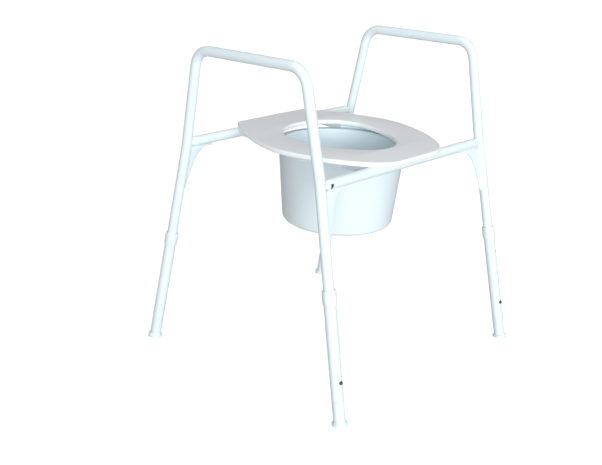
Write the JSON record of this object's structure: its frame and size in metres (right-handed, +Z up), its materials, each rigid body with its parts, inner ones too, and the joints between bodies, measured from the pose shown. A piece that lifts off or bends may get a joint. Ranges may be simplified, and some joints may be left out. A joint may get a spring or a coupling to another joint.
{
  "type": "commode chair",
  "caption": "Height-adjustable commode chair: bent-tube frame with armrests and gussets, telescopic legs with snap buttons, hinged seat with egg-shaped opening, round lift-out pan.",
  "frame": {"origin": "on the floor, in the middle of the four feet", "axes": "+Z up, -Y the way the sitter faces, -X the sitter's right"},
  "size_m": [0.6294, 0.6207, 0.71],
  "materials": {
    "frame_paint": "white powder coat, satin",
    "white_plastic": "moulded, satin",
    "seat_plastic": "fine grain",
    "dark_plastic": "moulded",
    "steel": "zinc plated"
  },
  "bodies": {
    "frame": {"side_frame_right": "frame_paint", "side_frame_left": "frame_paint", "front_cross_tube": "frame_paint", "rear_cross_tube": "frame_paint", "pan_holder_right": "frame_paint", "pan_holder_left": "frame_paint", "gusset_front_right": "frame_paint", "gusset_front_left": "frame_paint", "gusset_rear_right": "frame_paint", "gusset_rear_left": "frame_paint", "cross_tube_cap_front_right": "frame_paint", "cross_tube_cap_front_left": "frame_paint", "cross_tube_cap_rear_right": "frame_paint", "cross_tube_cap_rear_left": "frame_paint", "button_spring_front_right": "steel", "button_spring_front_left": "steel", "button_spring_rear_right": "steel", "button_spring_rear_left": "steel"},
    "seat": {"seat": "seat_plastic", "seat_clip_right": "seat_plastic", "clip_screw_right_1": "steel", "clip_screw_right_2": "steel", "seat_clip_left": "seat_plastic", "clip_screw_left_1": "steel", "clip_screw_left_2": "steel"},
    "pan": {"pan_wall": "white_plastic", "pan_base": "white_plastic", "pan_lip": "white_plastic"},
    "leg_front_right": {"leg_extension_front_right": "frame_paint", "leg_collar_front_right": "white_plastic", "foot_tip_front_right": "white_plastic"},
    "button_front_right": {"snap_button_front_right": "dark_plastic"},
    "leg_front_left": {"leg_extension_front_left": "frame_paint", "leg_collar_front_left": "white_plastic", "foot_tip_front_left": "white_plastic"},
    "button_front_left": {"snap_button_front_left": "dark_plastic"},
    "leg_rear_right": {"leg_extension_rear_right": "frame_paint", "leg_collar_rear_right": "white_plastic", "foot_tip_rear_right": "white_plastic"},
    "button_rear_right": {"snap_button_rear_right": "dark_plastic"},
    "leg_rear_left": {"leg_extension_rear_left": "frame_paint", "leg_collar_rear_left": "white_plastic", "foot_tip_rear_left": "white_plastic"},
    "button_rear_left": {"snap_button_rear_left": "dark_plastic"}
  },
  "joints": [
    {"name": "seat_hinge", "type": "hinge", "parent": "frame", "child": "seat", "pos_m": [0, 0.19085, 0.4902], "axis": [-1, 0, 0], "range_deg": [0, 100]},
    {"name": "pan_lift", "type": "slide", "parent": "frame", "child": "pan", "axis": [0, 0, 1], "range_m": [0, 0.011]},
    {"name": "leg_slide_front_right", "type": "slide", "parent": "frame", "child": "leg_front_right", "axis": [-0.0458, -0.1893, -0.9809], "range_m": [0, 0.127], "deforming": ["snap_button_front_right", "button_spring_front_right"]},
    {"name": "button_press_front_right", "type": "slide", "parent": "frame", "child": "button_front_right", "axis": [-0.0088, 0.9819, -0.1891], "range_m": [0, 0.0046], "stiffness_N_per_m": 1500, "springref_m": -0.002, "deforming": ["button_spring_front_right"]},
    {"name": "leg_slide_front_left", "type": "slide", "parent": "frame", "child": "leg_front_left", "axis": [0.0458, -0.1893, -0.9809], "range_m": [0, 0.127], "deforming": ["snap_button_front_left", "button_spring_front_left"]},
    {"name": "button_press_front_left", "type": "slide", "parent": "frame", "child": "button_front_left", "axis": [0.0088, 0.9819, -0.1891], "range_m": [0, 0.0046], "stiffness_N_per_m": 1500, "springref_m": -0.002, "deforming": ["button_spring_front_left"]},
    {"name": "leg_slide_rear_right", "type": "slide", "parent": "frame", "child": "leg_rear_right", "axis": [-0.0456, 0.2053, -0.9776], "range_m": [0, 0.127], "deforming": ["snap_button_rear_right", "button_spring_rear_right"]},
    {"name": "button_press_rear_right", "type": "slide", "parent": "frame", "child": "button_rear_right", "axis": [-0.0096, -0.9787, -0.2051], "range_m": [0, 0.0046], "stiffness_N_per_m": 1500, "springref_m": -0.002, "deforming": ["button_spring_rear_right"]},
    {"name": "leg_slide_rear_left", "type": "slide", "parent": "frame", "child": "leg_rear_left", "axis": [0.0456, 0.2053, -0.9776], "range_m": [0, 0.127], "deforming": ["snap_button_rear_left", "button_spring_rear_left"]},
    {"name": "button_press_rear_left", "type": "slide", "parent": "frame", "child": "button_rear_left", "axis": [0.0096, -0.9787, -0.2051], "range_m": [0, 0.0046], "stiffness_N_per_m": 1500, "springref_m": -0.002, "deforming": ["button_spring_rear_left"]}
  ]
}
